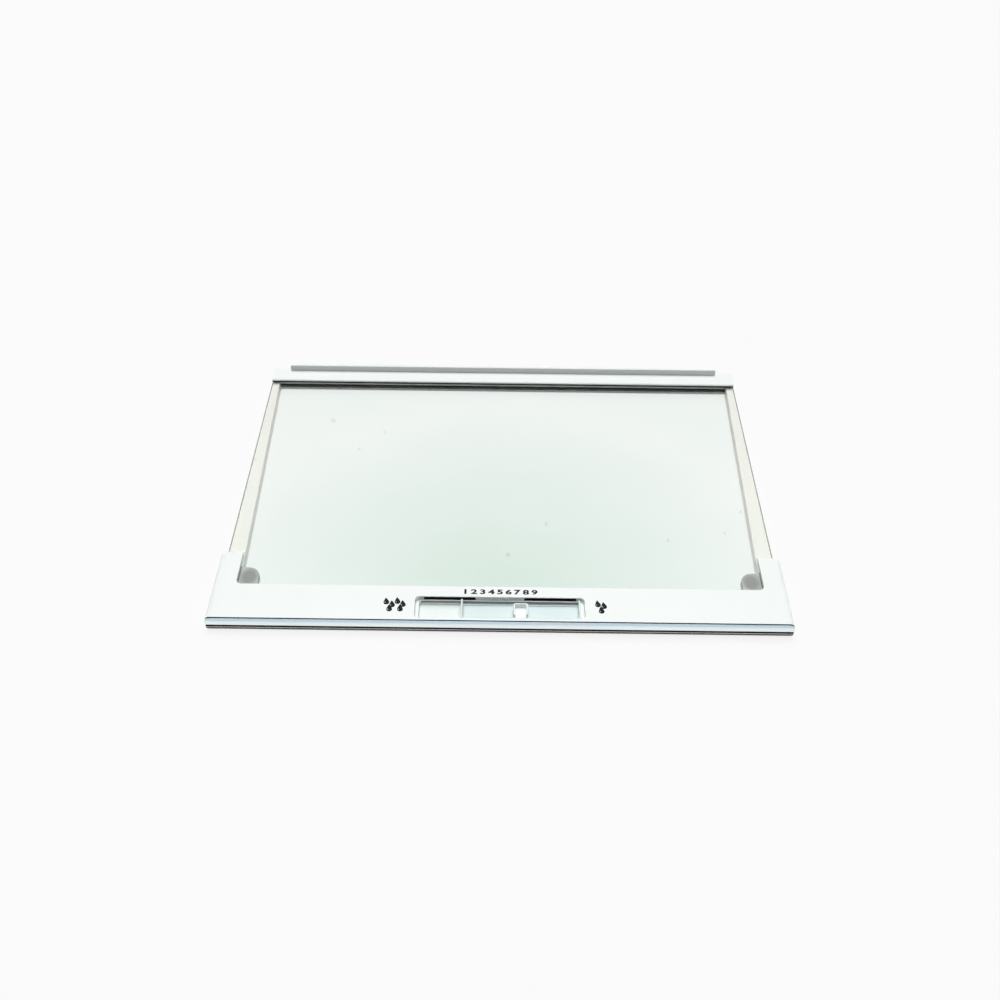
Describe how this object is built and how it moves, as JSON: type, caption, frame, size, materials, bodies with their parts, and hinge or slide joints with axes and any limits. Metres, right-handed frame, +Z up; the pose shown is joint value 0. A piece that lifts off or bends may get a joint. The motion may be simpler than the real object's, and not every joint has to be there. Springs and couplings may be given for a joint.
{
  "type": "refrigerator crisper cover shelf",
  "caption": "Flat glass shelf in a white plastic frame that covers a crisper drawer, with a sliding humidity control in its front bar, a front trim and seal, and a rear lip.",
  "frame": {"origin": "under the middle of the shelf, on the surface it stands on", "axes": "+X to the right along the front bar, +Y from the front bar to the rear lip, +Z up"},
  "size_m": [0.51, 0.3466, 0.0242],
  "materials": {
    "glass": "clear tempered, pale green tint",
    "white_plastic": "white, satin",
    "silver_trim": "pale silver-blue, satin",
    "black_seal": "black, smooth",
    "grey_rubber": "grey, matte"
  },
  "bodies": {
    "shelf": {"front_bar": "white_plastic", "glass_panel": "glass", "front_trim": "silver_trim", "front_seal": "black_seal", "left_side_rail": "white_plastic", "right_side_rail": "white_plastic", "rear_rail": "white_plastic", "rear_glazing_gasket": "black_seal", "rear_drawer_seal": "black_seal", "left_corner_pad": "grey_rubber", "right_corner_pad": "grey_rubber"},
    "humidity_control": {"humidity_slide": "white_plastic", "vent_shutter": "white_plastic"}
  },
  "joints": [
    {"name": "humidity_slide_travel", "type": "slide", "parent": "shelf", "child": "humidity_control", "axis": [1, 0, 0], "range_m": [-0.0366, 0]}
  ]
}
